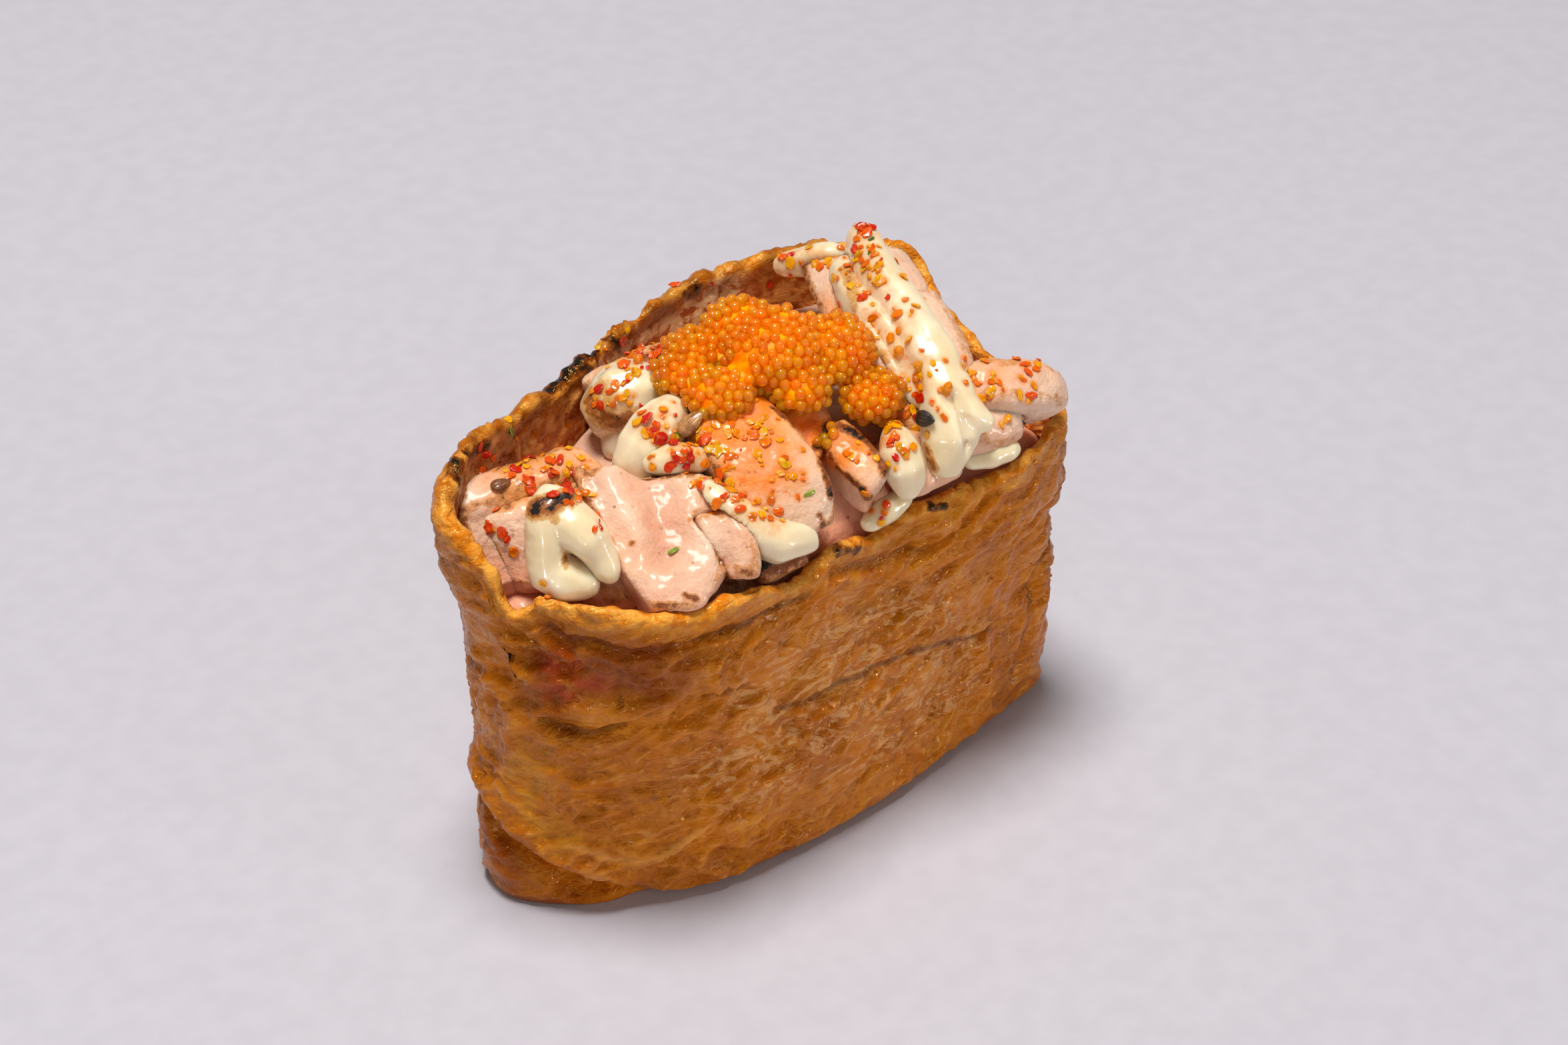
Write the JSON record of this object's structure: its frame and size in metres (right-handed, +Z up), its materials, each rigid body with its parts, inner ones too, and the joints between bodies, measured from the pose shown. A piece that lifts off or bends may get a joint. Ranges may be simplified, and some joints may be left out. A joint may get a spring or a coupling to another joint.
{
  "type": "inari sushi",
  "caption": "Tofu skin pocket standing open, filled and heaped with slices of seared salmon, torched mayonnaise and orange fish roe.",
  "frame": {"origin": "middle of the footprint, on the ground that the pocket stands on", "axes": "+X along the pocket to its blunt end, -Y towards its front wall, +Z up out of its mouth"},
  "size_m": [0.0626, 0.034, 0.0517],
  "materials": {
    "tofu": "fried tofu skin, damp and softly glossy",
    "salmon": "lightly seared salmon, moist",
    "mayonnaise": "torched mayonnaise, soft gloss",
    "roe": "translucent orange fish eggs, wet"
  },
  "bodies": {
    "root": {"mayo_back_ridge": "mayonnaise", "mayo_ball": "mayonnaise", "mayo_dollop": "mayonnaise", "mayo_drop": "mayonnaise", "mayo_front_edge": "mayonnaise", "mayo_front_left": "mayonnaise", "mayo_rim_front": "mayonnaise", "mayo_rim_right": "mayonnaise", "mayo_rope": "mayonnaise", "mayo_tongue": "mayonnaise", "pocket": "tofu", "roe_heap": "roe", "salmon_back_left": "salmon", "salmon_back_right": "salmon", "salmon_bed": "salmon", "salmon_block": "salmon", "salmon_burnt_bit": "salmon", "salmon_centre": "salmon", "salmon_centre_right": "salmon", "salmon_deep_left": "salmon", "salmon_front_flap": "salmon", "salmon_front_lobe": "salmon", "salmon_inner_left": "salmon", "salmon_outer_left": "salmon", "salmon_right": "salmon", "salmon_rim_right": "salmon", "salmon_roll": "salmon", "salmon_seared_middle": "salmon", "salmon_upright": "salmon"}
  },
  "joints": []
}
